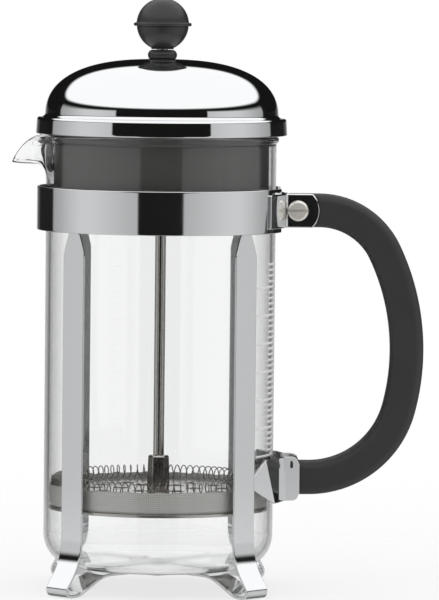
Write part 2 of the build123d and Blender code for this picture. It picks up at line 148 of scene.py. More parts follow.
def end_caps(points):
    """The point numbers of the first and the last row of a grid, which close its two ends."""
    rows, count = points.shape[:2]
    return list(range(count)), list(range((rows - 1) * count, rows * count))


def polar(out, angles, up):
    """Grid points about the beaker's axis: row i stands at angle i, at each column's reach and height."""
    out, up, angles = np.broadcast_arrays(out, up, angles[:, None])
    return np.stack([AXIS_X + out * np.cos(angles), out * np.sin(angles), up], axis=-1)


def add_piece(name, points, faces, material, body, smooth=35.0, ends=()):
    """A mesh from a point array and a quad array, with flat end caps, closed poles and outward faces."""
    mesh = bpy.data.meshes.new(name)
    polygons = faces.tolist() + [list(end) for end in ends]
    mesh.from_pydata(points.reshape(-1, 3).tolist(), [], polygons)
    work = bmesh.new()
    work.from_mesh(mesh)
    bmesh.ops.remove_doubles(work, verts=work.verts, dist=2e-7)
    bmesh.ops.dissolve_degenerate(work, edges=work.edges, dist=2e-7)
    bmesh.ops.recalc_face_normals(work, faces=work.faces)
    work.to_mesh(mesh)
    work.free()
    mesh.shade_smooth()
    mesh.set_sharp_from_angle(angle=radians(smooth))
    mesh.materials.append(material)
    return place_piece(name, mesh, body)


def place_piece(name, mesh, body):
    """A mesh as an object on its body, with normals that keep wide faces flat beside rounded edges."""
    piece = bpy.data.objects.new(name, mesh)
    bpy.context.scene.collection.objects.link(piece)
    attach(piece, body)
    piece.modifiers.new("flat_faces", "WEIGHTED_NORMAL").keep_sharp = True
    return piece


def rounded(points, radii, steps=6):
    """A polyline with its corners turned into arcs: each arc is tangent to both of its runs. Ends stay."""
    points = [np.array(p, float) for p in points]
    out = [points[0]]
    for before, corner, after, radius in zip(points, points[1:], points[2:], radii):
        a, b = before - corner, after - corner
        la, lb = np.linalg.norm(a), np.linalg.norm(b)
        a, b = a / la, b / lb
        half = np.arccos(np.clip(a @ b, -1, 1)) / 2
        if radius <= 0 or abs(half - pi / 2) < 1e-4:
            out.append(corner)
            continue
        reach = min(radius / tan(half), 0.49 * la, 0.49 * lb)
        radius = reach * tan(half)
        centre = corner + (a + b) / np.linalg.norm(a + b) * radius / sin(half)
        start, end = corner + a * reach - centre, corner + b * reach - centre
        turn = np.arccos(np.clip(start @ end / (np.linalg.norm(start) * np.linalg.norm(end)), -1, 1))
        for share in np.linspace(0, 1, steps + 1):
            out.append(centre + (np.sin((1 - share) * turn) * start + np.sin(share * turn) * end) / sin(turn))
    out.append(points[-1])
    return np.array(out)


def loop_rounded(points, radii, steps=6):
    """A closed outline with rounded corners, from the middle of its last side round to it again."""
    points = [np.array(p, float) for p in points]
    middle = (points[-1] + points[0]) / 2
    return rounded([middle, *points, middle], radii, steps)[:-1]


def even(points, step):
    """Adds points along a polyline's longer runs, so that none is longer than step."""
    out = [points[:1]]
    for a, b in zip(points, points[1:]):
        count = max(1, int(np.ceil(np.linalg.norm(b - a) / step)))
        out.append(a + (b - a) * (np.arange(1, count + 1) / count)[:, None])
    return np.concatenate(out)


def spaced(points, count):
    """A polyline with each run split into the same number of steps."""
    share = (np.arange(count) / count)[None, :, None]
    runs = points[:-1, None, :] + (points[1:] - points[:-1])[:, None, :] * share
    return np.concatenate([runs.reshape(-1, points.shape[1]), points[-1:]])


def closed(points):
    """An outline with its first point again at its end."""
    return np.concatenate([points, points[:1]])


def curve_through(keys, steps):
    """A smooth curve through key points: on each span, the Catmull-Rom cubic of its four nearest keys."""
    keys = np.asarray(keys, float)
    k = np.concatenate([2 * keys[:1] - keys[1:2], keys, 2 * keys[-1:] - keys[-2:-1]])
    t = (np.arange(steps) / steps)[:, None]
    spans = []
    for p0, p1, p2, p3 in zip(k, k[1:], k[2:], k[3:]):
        spans.append(p1 + 0.5 * t * (p2 - p0 + t * (2 * p0 - 5 * p1 + 4 * p2 - p3
                                                   + t * (3 * (p1 - p2) + p3 - p0))))
    return np.concatenate(spans + [keys[-1:]])


def lathe(profile, segments=192, start=0.0, sweep=2 * pi):
    """A profile of radius and height carried round the beaker's axis: x = r cos a, y = r sin a, z = h."""
    whole = abs(sweep - 2 * pi) < 1e-6
    angles = start + sweep * np.arange(segments + (0 if whole else 1)) / segments
    return polar(profile[:, 0], angles, profile[:, 1]), grid_faces(len(angles), len(profile), close_rows=whole)


def turned(name, profile, material, body, slot, *nodes, segments=192, smooth=35.0):
    """A closed profile turned all the way round, in place of the nodes."""
    points, faces = lathe(even(closed(np.asarray(profile)), 0.8 * MM)[:-1], segments)
    piece = add_piece(name, points, faces, material, body, smooth)
    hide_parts(*nodes)
    return piece


def round_bar(half_a, half_b, edge, steps=4):
    """A rectangle with rounded corners, as a loop of points (a, b) about its middle."""
    corners = [(-half_a, -half_b), (half_a, -half_b), (half_a, half_b), (-half_a, half_b)]
    return loop_rounded(corners, [edge] * 4, steps)


def ribbon(path, normal, side, half_sheet, half_width, edge, steps=3):
    """A sheet strip: at each point of the path, a rounded rectangle of the sheet's thickness along the
    normal and of the strip's own width there along the side direction."""
    corner = round_bar(half_sheet, half_width.min(), edge, steps)
    signs = np.sign(corner)
    offset_b = corner[:, 1] - signs[:, 1] * half_width.min()
    a = corner[:, 0][None, :]
    b = signs[:, 1][None, :] * half_width[:, None] + offset_b[None, :]
    points = path[:, None, :] + a[..., None] * normal[:, None, :] + b[..., None] * side[:, None, :]
    return points, grid_faces(*points.shape[:2]), end_caps(points)


# ---------------------------------------------------------------- shader effects used by several finishes

def new_group(name, inputs, outputs):
    """An empty shader node group with named float sockets."""
    group = bpy.data.node_groups.new(name, "ShaderNodeTree")
    for label, default in inputs:
        socket = group.interface.new_socket(label, in_out="INPUT", socket_type="NodeSocketFloat")
        socket.default_value = default
    for label in outputs:
        group.interface.new_socket(label, in_out="OUTPUT", socket_type="NodeSocketFloat")
    return group, group.nodes.new("NodeGroupInput"), group.nodes.new("NodeGroupOutput")


def math_node(tree, operation, first, second=None, clamp=False):
    """A math node fed by sockets or numbers; returns its output."""
    node = tree.nodes.new("ShaderNodeMath")
    node.operation, node.use_clamp = operation, clamp
    for index, value in enumerate((first, second)):
        if value is None:
            continue
        if isinstance(value, (int, float)):
            node.inputs[index].default_value = value
        else:
            tree.links.new(value, node.inputs[index])
    return node.outputs[0]


def noise_node(tree, vector, scale, detail=3.0, roughness=0.5):
    """A noise texture on the given coordinates; returns its factor."""
    node = tree.nodes.new("ShaderNodeTexNoise")
    node.inputs["Scale"].default_value = scale
    node.inputs["Detail"].default_value = detail
    node.inputs["Roughness"].default_value = roughness
    tree.links.new(vector, node.inputs["Vector"])
    return node.outputs["Fac"]


def object_place(tree, scale=(1, 1, 1)):
    """Object coordinates, stretched by scale."""
    coordinates = tree.nodes.new("ShaderNodeTexCoord")
    mapping = tree.nodes.new("ShaderNodeMapping")
    mapping.inputs["Scale"].default_value = scale
    tree.links.new(coordinates.outputs["Object"], mapping.inputs["Vector"])
    return mapping.outputs["Vector"]


def handling_group():
    """Smudges and hairlines on a polished surface: low noise sets where the gloss is duller, and a
    stretched fine noise adds hairlines. Puts out Roughness and Height."""
    group, inside, outside = new_group("handling_marks", [("Gloss", 0.04), ("Smudge", 0.05), ("Hairline", 0.02)],
                                       ["Roughness", "Height"])
    broad = noise_node(group, object_place(group), 38.0, 4.0, 0.6)
    fine = noise_node(group, object_place(group, (900, 900, 60)), 1.0, 2.0)
    patch = math_node(group, "POWER", broad, 3.0)
    smudge = math_node(group, "MULTIPLY", patch, inside.outputs["Smudge"])
    hair = math_node(group, "MULTIPLY", fine, inside.outputs["Hairline"])
    total = math_node(group, "ADD", math_node(group, "ADD", smudge, hair), inside.outputs["Gloss"])
    group.links.new(total, outside.inputs["Roughness"])
    group.links.new(fine, outside.inputs["Height"])
    return group


def mould_group():
    """The fine grain of moulded plastic: two sizes of noise. Puts out a Shade to multiply the colour, a
    Roughness and a Height."""
    group, inside, outside = new_group("mould_grain", [("Base Roughness", 0.45), ("Spread", 0.08), ("Tone", 0.1)],
                                       ["Shade", "Roughness", "Height"])
    place = object_place(group)
    fine = noise_node(group, place, 5200.0, 2.0)
    broad = noise_node(group, place, 55.0, 3.0)
    centred = math_node(group, "SUBTRACT", broad, 0.5)
    rough = math_node(group, "ADD", math_node(group, "MULTIPLY", centred, inside.outputs["Spread"]),
                      inside.outputs["Base Roughness"])
    shade = math_node(group, "ADD", math_node(group, "MULTIPLY", centred, inside.outputs["Tone"]), 1.0)
    group.links.new(rough, outside.inputs["Roughness"])
    group.links.new(shade, outside.inputs["Shade"])
    group.links.new(fine, outside.inputs["Height"])
    return group


def weave_group():
    """A plain weave on a UV map in metres: two crossing sets of wires, each a wave of the pitch, one over
    the other by turns. Puts out a Wire mask and a Height."""
    group, inside, outside = new_group("wire_weave", [("Pitch", 0.0005), ("Cover", 0.55)], ["Wire", "Height"])
    uv = group.nodes.new("ShaderNodeUVMap")
    split = group.nodes.new("ShaderNodeSeparateXYZ")
    group.links.new(uv.outputs["UV"], split.inputs["Vector"])
    waves = []
    for axis in ("X", "Y"):
        turn = math_node(group, "MULTIPLY", math_node(group, "DIVIDE", split.outputs[axis],
                                                      inside.outputs["Pitch"]), pi)
        waves.append(math_node(group, "ABSOLUTE", math_node(group, "SINE", turn)))
    top = math_node(group, "MAXIMUM", waves[0], waves[1])
    edge = math_node(group, "SUBTRACT", 1.0, inside.outputs["Cover"])
    mask = math_node(group, "MULTIPLY", math_node(group, "SUBTRACT", top, edge), 6.0, clamp=True)
    group.links.new(mask, outside.inputs["Wire"])
    group.links.new(top, outside.inputs["Height"])
    return group


GROUPS = {}


def effect(tree, name, **values):
    """Places a shared effect in a material and sets its inputs."""
    makers = {"handling": handling_group, "mould": mould_group, "weave": weave_group}
    if name not in GROUPS:
        GROUPS[name] = makers[name]()
    node = tree.nodes.new("ShaderNodeGroup")
    node.node_tree = GROUPS[name]
    for label, value in values.items():
        node.inputs[label.replace("_", " ")].default_value = value
    return node


def surface(name, base, **settings):
    """A material with one Principled BSDF whose plain sockets are set directly."""
    material = bpy.data.materials.new(name)
    material.use_nodes = True
    shader = material.node_tree.nodes["Principled BSDF"]
    shader.inputs["Base Color"].default_value = (*base, 1.0)
    for label, value in settings.items():
        shader.inputs[label.replace("_", " ")].default_value = value
    return material, shader, material.node_tree


def bump(tree, shader, height, distance):
    """A bump from a height socket onto a shader's normal."""
    node = tree.nodes.new("ShaderNodeBump")
    node.inputs["Distance"].default_value = distance
    node.inputs["Strength"].default_value = 1.0
    tree.links.new(height, node.inputs["Height"])
    tree.links.new(node.outputs["Normal"], shader.inputs["Normal"])


def shaded_colour(tree, shader, base, shade):
    """Base colour multiplied by a shade that varies over the surface."""
    mix = tree.nodes.new("ShaderNodeMix")
    mix.data_type, mix.blend_type = "RGBA", "MULTIPLY"
    mix.inputs["Factor"].default_value = 1.0
    mix.inputs["A"].default_value = (*base, 1.0)
    tree.links.new(shade, mix.inputs["B"])
    tree.links.new(mix.outputs["Result"], shader.inputs["Base Color"])


def polished_metal(name, base, gloss, smudge, hairline, bump_height=2e-7, metallic=1.0):
    """Plated or polished metal with handling marks."""
    material, shader, tree = surface(name, base, Metallic=metallic)
    marks = effect(tree, "handling", Gloss=gloss, Smudge=smudge, Hairline=hairline)
    tree.links.new(marks.outputs["Roughness"], shader.inputs["Roughness"])
    bump(tree, shader, marks.outputs["Height"], bump_height)
    return material


def moulded(name, base, roughness, spread, tone, grain, specular=0.5):
    """Moulded plastic with a fine grain."""
    material, shader, tree = surface(name, base, Specular_IOR_Level=specular)
    grain_node = effect(tree, "mould", Base_Roughness=roughness, Spread=spread, Tone=tone)
    tree.links.new(grain_node.outputs["Roughness"], shader.inputs["Roughness"])
    shaded_colour(tree, shader, base, grain_node.outputs["Shade"])
    bump(tree, shader, grain_node.outputs["Height"], grain)
    return material


def drawn_steel(name, base, roughness, stretch):
    """Steel with a drawn or spun grain along one direction."""
    material, shader, tree = surface(name, base, Metallic=1.0)
    grain = noise_node(tree, object_place(tree, stretch), 1.0, 3.0)
    rough = math_node(tree, "ADD", math_node(tree, "MULTIPLY", grain, 0.16), roughness)
    tree.links.new(rough, shader.inputs["Roughness"])
    shade = math_node(tree, "ADD", math_node(tree, "MULTIPLY", grain, 0.3), 0.85)
    shaded_colour(tree, shader, base, shade)
    bump(tree, shader, grain, 2e-6)
    return material


def blown_glass():
    """Clear glass with slight waves of thickness."""
    material, shader, tree = surface("blown_glass", (0.985, 0.99, 0.988), Transmission_Weight=1.0, IOR=1.47,
                                     Roughness=0.0, Metallic=0.0)
    waves = noise_node(tree, object_place(tree, (14, 14, 5)), 1.0, 1.0)
    bump(tree, shader, waves, 4e-5)
    return material


def woven_steel(base, pitch):
    """Fine woven mesh: holes let light through between the wires, and the gaps between the wires carry painted shade.
    """
    material, shader, tree = surface("woven_steel", base, Metallic=0.5, Roughness=0.6)
    weave = effect(tree, "weave", Pitch=pitch, Cover=0.62)
    tree.links.new(math_node(tree, "ADD", math_node(tree, "MULTIPLY", weave.outputs["Wire"], 0.45), 0.5),
                   shader.inputs["Alpha"])
    # Painted shade: the colour in the gaps between the wires is darkened to 0.45 of the base, and the wires are made
    # a little lighter.
    shaded_colour(tree, shader, base, rise(tree, weave.outputs["Wire"], 0.0, 1.0, 0.45, 1.15))
    bump(tree, shader, weave.outputs["Height"], 6e-5)
    return material


FINISHES = {}


def finish(name):
    """A finish by name, made the first time it is asked for."""
    if name not in FINISHES:
        paint = bpy.context.scene.press_colours
        makers = {
            "cradle_chrome": lambda: polished_metal("cradle_chrome", paint.chrome, 0.035, 0.10, 0.03),
            "lid_chrome": lambda: polished_metal("lid_chrome", paint.chrome, 0.015, 0.05, 0.012, 1e-7),
            "screw_chrome": lambda: polished_metal("screw_chrome", (0.93, 0.90, 0.83), 0.25, 0.15, 0.05, 3e-7, 0.6),
            "beaker_glass": blown_glass,
            "grip_plastic": lambda: moulded("grip_plastic", paint.grip, 0.50, 0.10, 0.25, 1.2e-5, 0.45),
            "knob_plastic": lambda: moulded("knob_plastic", paint.knob, 0.36, 0.10, 0.25, 6e-6),
            "liner_plastic": lambda: moulded("liner_plastic", paint.liner, 0.42, 0.08, 0.12, 6e-6),
            "rod_steel": lambda: drawn_steel("rod_steel", paint.steel, 0.10, (4000, 4000, 60)),
            "filter_steel": lambda: drawn_steel("filter_steel", paint.steel, 0.16, (300, 300, 2500)),
            "spring_steel": lambda: drawn_steel("spring_steel", paint.wire, 0.14, (900, 900, 900)),
            "mesh_steel": lambda: woven_steel(paint.mesh, bpy.context.scene.press_filter.weave),
            "insert_brass": lambda: drawn_steel("insert_brass", (0.70, 0.52, 0.26), 0.2, (800, 800, 3000)),
            "print_white": lambda: moulded("print_white", (0.80, 0.80, 0.80), 0.5, 0.1, 0.1, 1e-6),
        }
        FINISHES[name] = makers[name]()
    return FINISHES[name]


def merged_copy(name, node, body, slot, smooth=30.0):
    """A copy of a node's mesh with its loose triangles joined and its round faces shaded smooth."""
    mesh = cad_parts[node].data.copy()
    mesh.name = name
    work = bmesh.new()
    work.from_mesh(mesh)
    bmesh.ops.remove_doubles(work, verts=work.verts, dist=1e-6)
    bmesh.ops.dissolve_limit(work, angle_limit=radians(0.2), verts=work.verts, edges=work.edges)
    work.to_mesh(mesh)
    work.free()
    mesh.materials.clear()
    mesh.materials.append(finish(slot))
    mesh.shade_smooth()
    mesh.set_sharp_from_angle(angle=radians(smooth))
    piece = place_piece(name, mesh, body)
    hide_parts(node)
    return piece


def soften(piece, width, segments=2, angle=40.0):
    """A small bevel on a piece's sharp edges."""
    bevel = piece.modifiers.new("edge", "BEVEL")
    bevel.width, bevel.segments, bevel.limit_method = width, segments, "ANGLE"
    bevel.angle_limit = radians(angle)
    piece.modifiers.move(len(piece.modifiers) - 1, 0)
    return piece


class PieceOperator:
    """What every operator here shares."""
    bl_options = {"REGISTER", "UNDO"}


# ---------------------------------------------------------------- beaker

class PRESS_OT_beaker(PieceOperator, bpy.types.Operator):
    """Blow the glass beaker with its drooping lip"""
    bl_idname = "press.beaker"
    bl_label = "Glass Beaker"

    def execute(self, context):
        sizes = context.scene.press_beaker
        points, faces = beaker_surface(sizes)
        piece = add_piece("beaker", points, faces, finish("beaker_glass"), "beaker", 60)
        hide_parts("glass_beaker")
        return {"FINISHED"}


SHAPED_WALL = 30 * MM  # how far under the rim the lip's shape begins
LIP_LAG = 2.8  # how much later the rim falls towards the lip than it reaches out


def wall_keys(sizes):
    """The wall's profile from 30 mm under the rim, over the bead and down inside: plain, and at the lip.
    Both have the same points in the same order, as radius and height below the rim, in millimetres."""
    r, inside = BEAKER_RADIUS / MM, (BEAKER_RADIUS - sizes.wall) / MM
    bead = r + sizes.bead / MM
    reach = -(low("glass_beaker")[0] - AXIS_X) / MM
    plain = [(r, -30), (r, -26), (r, -21), (r, -16), (r, -11), (r, -7), (r, -3.4), (bead - 0.3, -2.4), (bead, -1.4),
             (bead - 0.35, -0.45), (r - 0.6, 0), (inside + 0.5, -0.35), (inside + 0.05, -1.4), (inside, -4),
             (inside, -7), (inside, -11), (inside, -16), (inside, -21), (inside, -26), (inside, -30)]
    lip = [(r, -30), (r, -25), (r + 0.05, -21), (r + 0.2, -17.2), (r + 1.0, -14.3), (r + 2.9, -12.7),
           (r + 6.5, -12.4), (r + 11.0, -12.2), (reach - 0.5, -11.9), (reach, -11.3), (reach - 0.5, -10.6),
           (reach - 1.6, -10.6), (r + 11.0, -10.85), (r + 7.0, -11.0), (r + 3.2, -11.3), (r + 0.8, -12.9),
           (inside + 0.6, -16.4), (inside + 0.15, -21), (inside, -26), (inside, -30)]
    return np.array(plain), np.array(lip)


def beaker_surface(sizes):
    """The glass as one closed surface. Its profile runs from the bottom's middle outside, up the wall,
    over the rim and down inside. Near the lip, each point moves from the plain profile towards the lip's
    by a weight that is cos squared of the angle from the lip, and the rim's fall lags its reach."""
    plain, lip = wall_keys(sizes)
    steps = 5
    plain_wall, lip_wall = curve_through(plain, steps), curve_through(lip, steps)
    inside = BEAKER_RADIUS - sizes.wall
    corner, inner_corner = sizes.corner, sizes.corner - sizes.wall
    arc = np.linspace(0, pi / 2, 13)
    bottom_r = np.linspace(0, BEAKER_RADIUS - corner, 8)
    outside = np.concatenate([
        np.stack([bottom_r, np.full(8, FLOOR_Z)], axis=1)[:-1],
        np.stack([BEAKER_RADIUS - corner + corner * np.sin(arc), FLOOR_Z + corner - corner * np.cos(arc)], axis=1),
        even(np.array([(BEAKER_RADIUS, FLOOR_Z + corner), (BEAKER_RADIUS, RIM_Z - SHAPED_WALL)]), 0.012)[1:-1]])
    centre_z = FLOOR_Z + corner
    inner_floor = FLOOR_Z + sizes.wall
    indoors = np.concatenate([
        even(np.array([(inside, RIM_Z - SHAPED_WALL), (inside, centre_z)]), 0.012)[1:-1],
        np.stack([inside - inner_corner + inner_corner * np.cos(arc), centre_z - inner_corner * np.sin(arc)], axis=1),
        np.stack([np.linspace(inside - inner_corner, 0, 8), np.full(8, inner_floor)], axis=1)[1:]])
    wall = plain_wall * MM + [0, RIM_Z]
    change = (lip_wall - plain_wall) * MM
    profile = np.concatenate([outside, wall, indoors])
    moves = np.concatenate([np.zeros_like(outside), change, np.zeros_like(indoors)])
    spread = sizes.lip_spread
    dense = np.linspace(-1, 1, 97) * spread * 1.05
    rest = np.linspace(spread * 1.05, 2 * pi - spread * 1.05, 170)[1:-1]
    angles = pi + np.concatenate([dense, rest])
    off = np.abs(angles % (2 * pi) - pi)
    weight = np.cos(np.clip(off / spread, 0, 1) * pi / 2) ** (2 * sizes.lip_pinch)
    out = profile[None, :, 0] + weight[:, None] * moves[None, :, 0]
    up = profile[None, :, 1] + (weight ** LIP_LAG)[:, None] * moves[None, :, 1]
    return polar(out, angles, up), grid_faces(len(angles), len(profile), close_rows=True, close_columns=False)


class PRESS_OT_marks(PieceOperator, bpy.types.Operator):
    """Print plain graduation ticks on the beaker"""
    bl_idname = "press.marks"
    bl_label = "Graduation Ticks"

    def execute(self, context):
        count, pitch, first, tall = 35, 2.35 * MM, FLOOR_Z + 48 * MM, 1.0 * MM
        radius = BEAKER_RADIUS + 0.03 * MM
        index = np.arange(count)
        starts = np.where(index % 5 == 0, radians(33), radians(20))
        angles = np.linspace(-starts, np.full(count, -radians(9)), 6, axis=1)
        ring = np.stack([AXIS_X + radius * np.cos(angles), radius * np.sin(angles)], axis=-1)
        heights = (first + pitch * index)[:, None, None] + tall * np.arange(2)[None, :, None]
        points = np.concatenate([np.broadcast_to(ring[:, None], (count, 2, 6, 2)),
                                 np.broadcast_to(heights[..., None], (count, 2, 6, 1))], axis=-1)
        faces = grid_faces(2, 6, close_columns=False)[None] + 12 * index[:, None, None]
        piece = add_piece("graduation_ticks", points, faces.reshape(-1, 4), finish("print_white"),
                          "beaker")
        thick = piece.modifiers.new("print", "SOLIDIFY")
        thick.thickness, thick.offset = 0.05 * MM, 1.0
        return {"FINISHED"}


# ---------------------------------------------------------------- cradle

class PRESS_OT_band(PieceOperator, bpy.types.Operator):
    """Roll the clamp band"""
    bl_idname = "press.band"
    bl_label = "Clamp Band"

    def execute(self, context):
        sizes = context.scene.press_cradle
        bottom, top = low("top_band")[2], high("top_band")[2]
        inner = BAND_RADIUS - sizes.sheet
        section = loop_rounded([(inner, bottom), (BAND_RADIUS, bottom), (BAND_RADIUS, top), (inner, top)],
                               [sizes.edge] * 4, 3)
        section = even(closed(section), 0.8 * MM)[:-1]
        gap = np.arccos(np.clip((high("top_band")[0] - AXIS_X) / BAND_RADIUS, -1, 1))
        points, faces = lathe(section, 240, gap, 2 * pi - 2 * gap)
        piece = add_piece("band", points, faces, finish("cradle_chrome"), "cradle", 50,
                          end_caps(points))
        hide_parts("top_band")
        return {"FINISHED"}


def strap_line(sizes, dip):
    """Middle line of a strap, as reach from the beaker's axis and height: leg, foot, seat and back up."""
    half = sizes.sheet / 2
    node = "cradle_strap_lower" if dip else "cradle_strap_upper"
    seat = 8.7 * MM - half
    toe, heel, knee_z = 60.57 * MM, 51.26 * MM, 15.06 * MM
    seat_x = heel - (seat - half) / tan(radians(27.6))
    side = [(sizes.leg_middle, high(node)[2]), (sizes.leg_middle, knee_z), (toe, half), (heel, half), (seat_x, seat)]
    radii = [26 * MM, 3.6 * MM, 8 * MM, 18 * MM]
    if dip:
        side += [(12 * MM, seat), (9 * MM, seat - sizes.sheet - 0.05 * MM)]
        radii += [1.2 * MM, 1.2 * MM]
    points = [(-x, z) for x, z in side] + list(reversed(side))
    return even(rounded(points, radii + list(reversed(radii)), 20), 0.0006)


def tangents(path):
    """Unit directions along a polyline, from each point's two neighbours."""
    step = np.gradient(path, axis=0)
    return step / np.linalg.norm(step, axis=1)[:, None]


def strap_surface(sizes, turn, dip):
    """A strap carried along its middle line, turned about the beaker's axis."""
    line = strap_line(sizes, dip)
    ahead = tangents(line)
    direction = np.array([cos(turn), sin(turn), 0.0])
    across = np.array([-sin(turn), cos(turn), 0.0])
    up = np.array([0.0, 0.0, 1.0])
    path = line[:, :1] * direction + line[:, 1:] * up + [AXIS_X, 0, 0]
    normal = ahead[:, 1:] * direction - ahead[:, :1] * up
    side = np.broadcast_to(across, path.shape)
    neck_z = low("top_band")[2]
    share = np.clip((line[:, 1] - (neck_z - sizes.neck_taper)) / sizes.neck_taper, 0, 1)
    width = (sizes.width + (sizes.neck - sizes.width) * share) / 2
    return ribbon(path, normal, side, sizes.sheet / 2, width, sizes.edge)


ARM_Z = 47.15 * MM  # height of the arms' middle


def arm_edges():
    """Plans of the -Y handle arm's top and bottom edges, from its leg to the side plate's end. The first
    panel carries on the leg's face; its bend slants, with the foot further out than the top."""
    lean = radians(14)
    diagonal = sqrt(0.5)
    foot = np.array([50.06 * diagonal, -50.06 * diagonal])
    inside, edge = (foot + np.array([diagonal, diagonal]) * reach for reach in (5.4, 6.0))
    end = np.array([59.0, -(7.3 + 0.6)])
    third = np.array([52.5, end[1] - (59.0 - 52.5) * tan(lean)])
    firsts = (np.array([44.3, -26.5]), np.array([48.2, -22.6]))
    seconds = (np.array([49.9, -16.0]), np.array([49.9, -19.4]))
    return [np.array([inside, edge, first, second, third, end]) * MM for first, second in zip(firsts, seconds)]


def arm_surface(sizes, side):
    """An arm: an upright sheet ruled between its two edges, low at the leg and full height from the first
    bend, with the side plate's end rounded by a quarter circle above and below."""
    top, bottom = (spaced(rounded(edge, [1.2 * MM] * 4, 6), 6) for edge in arm_edges())
    keys = arm_edges()
    corner = 3.0 * MM
    lines = []
    for edge, plan, sign in ((top, keys[0], 1), (bottom, keys[1], -1)):
        leg_x, first_x = plan[1:3, 0]
        share = np.clip((edge[:, 0] - leg_x) / (first_x - leg_x), 0, 1)
        height = (6.3 + (18.5 - 6.3) * share) * MM / 2
        from_end = np.clip((edge[-1, 0] - edge[:, 0]) / corner, 0, 1)
        height = height - corner * (1 - np.sqrt(1 - (1 - from_end) ** 2))
        lines.append(np.column_stack([AXIS_X + edge[:, 0], -side * edge[:, 1], ARM_Z + sign * height]))
    across = lines[0] - lines[1]
    width = np.linalg.norm(across, axis=1)
    across /= width[:, None]
    path = (lines[0] + lines[1]) / 2
    normal = np.cross(tangents(path), across)
    normal /= np.linalg.norm(normal, axis=1)[:, None]
    return ribbon(path, normal, across, sizes.sheet / 2, width / 2, sizes.edge)


class PRESS_OT_straps(PieceOperator, bpy.types.Operator):
    """Bend the two cradle straps with their feet and handle arms"""
    bl_idname = "press.straps"
    bl_label = "Cradle Straps"

    def execute(self, context):
        sizes = context.scene.press_cradle
        for name, side, dip in (("upper", 1, False), ("lower", -1, True)):
            strap = strap_surface(sizes, radians(45 * side), dip)
            arm = arm_surface(sizes, side)
            pieces = [add_piece(f"{label}_{name}", points, faces, finish("cradle_chrome"), "cradle",
                                50, ends)
                      for label, (points, faces, ends) in (("strap", strap), ("arm", arm))]
            for piece in pieces:
                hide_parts(f"cradle_strap_{name}")
        merged_copy("centre_rivet", "base_rivet", "cradle", "cradle_chrome")
        return {"FINISHED"}


class PRESS_OT_lugs(PieceOperator, bpy.types.Operator):
    """Fold the clamp lugs and fit their screw and nut"""
    bl_idname = "press.lugs"
    bl_label = "Clamp Lugs"

    def execute(self, context):
        for side in ("front", "back"):
            soften(merged_copy(f"lug_{side}", f"clamp_lug_{side}", "cradle", "cradle_chrome"), 0.45 * MM)
        soften(merged_copy("slotted_screw", "clamp_screw", "cradle", "screw_chrome"), 0.15 * MM)
        soften(merged_copy("hex_nut", "clamp_nut", "cradle", "screw_chrome"), 0.25 * MM)
        return {"FINISHED"}


class PRESS_OT_handle(PieceOperator, bpy.types.Operator):
    """Mould the grip"""
    bl_idname = "press.handle"
    bl_label = "Grip"

    def execute(self, context):
        merged_copy("grip", "handle", "cradle", "grip_plastic")
        for side in (-1, 1):
            catch_tab(side)
        return {"FINISHED"}


def catch_tab(side):
    """The face of a handle catch in its slot: a small upright rounded pad, pointed at its top."""
    outline = loop_rounded([(-0.65, -1.7), (0.65, -1.7), (0.65, 0.4), (-0.1, 1.9), (-0.65, 0.6)], [0.6] * 5, 4) * MM
    face_y = side * 9.42 * MM
    rings = [np.column_stack([AXIS_X + 55.8 * MM + outline[:, 0] * scale, np.full(len(outline), face_y + side * out),
                              53.3 * MM + outline[:, 1] * scale])
             for scale, out in ((1.0, -1.5 * MM), (1.0, 0.0), (0.7, 0.12 * MM))]
    points = np.stack(rings)
    label = "front" if side < 0 else "back"
    return add_piece(f"catch_{label}", points, grid_faces(3, len(outline)), finish("grip_plastic"), "cradle",
                     50, end_caps(points))


# ---------------------------------------------------------------- lid

def dome_arc(sizes, inset, count=64):
    """The dome's superellipse from its side to its crown: (r / R) to one power plus (h / H) to another
    is 1, with both sizes less the inset."""
    t = np.linspace(radians(6), pi / 2, count)
    base = high("lid_dome")[2] - sizes.bulge
    out = (sizes.radius - inset) * np.cos(t) ** (2 / sizes.power_out)
    up = base + (sizes.bulge - inset) * np.sin(t) ** (2 / sizes.power_up)
    return np.stack([np.maximum(out, 0), up], axis=1)


def dome_profile(sizes):
    """Closed outline of the lid's sheet: dome, hollow corner, ledge, rim and rolled edge, and back."""
    rim_radius = high("lid_dome")[1]
    bottom = low("lid_dome")[2]
    ledge = high("lid_dome")[2] - sizes.bulge
    sheet, hole = sizes.sheet, 5.5 * MM
    outer = dome_arc(sizes, 0)
    inner = dome_arc(sizes, sheet)
    outer, inner = outer[outer[:, 0] > hole], inner[inner[:, 0] > hole]
    foot = outer[0]
    lean = 0.4 * MM
    skirt = rounded([foot, (sizes.radius + 0.02 * MM, ledge), (rim_radius - lean, ledge), (rim_radius, bottom),
                     (rim_radius - 1.3 * MM, bottom), (rim_radius - 1.3 * MM, bottom + 1.3 * MM),
                     (rim_radius - sheet, bottom + 1.3 * MM), (rim_radius - sheet, ledge - sheet),
                     (inner[0, 0], ledge - sheet), inner[0]],
                    [1.6 * MM, 1.3 * MM, 0.5 * MM, 0.5 * MM, 0.3 * MM, 0, 0.4 * MM, 0.4 * MM], 8)
    return np.concatenate([outer[::-1], skirt[1:-1], inner])


class PRESS_OT_lid(PieceOperator, bpy.types.Operator):
    """Spin the lid's dome and mould its liner and bush"""
    bl_idname = "press.lid"
    bl_label = "Lid"

    def execute(self, context):
        sizes = context.scene.press_lid
        turned("dome", dome_profile(sizes), finish("lid_chrome"), "lid", "lid_chrome", "lid_dome", segments=256)
        merged_copy("liner", "lid_liner", "lid", "liner_plastic")
        merged_copy("bush", "lid_bush", "lid", "knob_plastic")
        return {"FINISHED"}


# ---------------------------------------------------------------- plunger

def ball_point(radius, angle, middle):
    """A point of a ball's profile at an angle above its equator."""
    return radius * cos(angle), middle + radius * sin(angle)


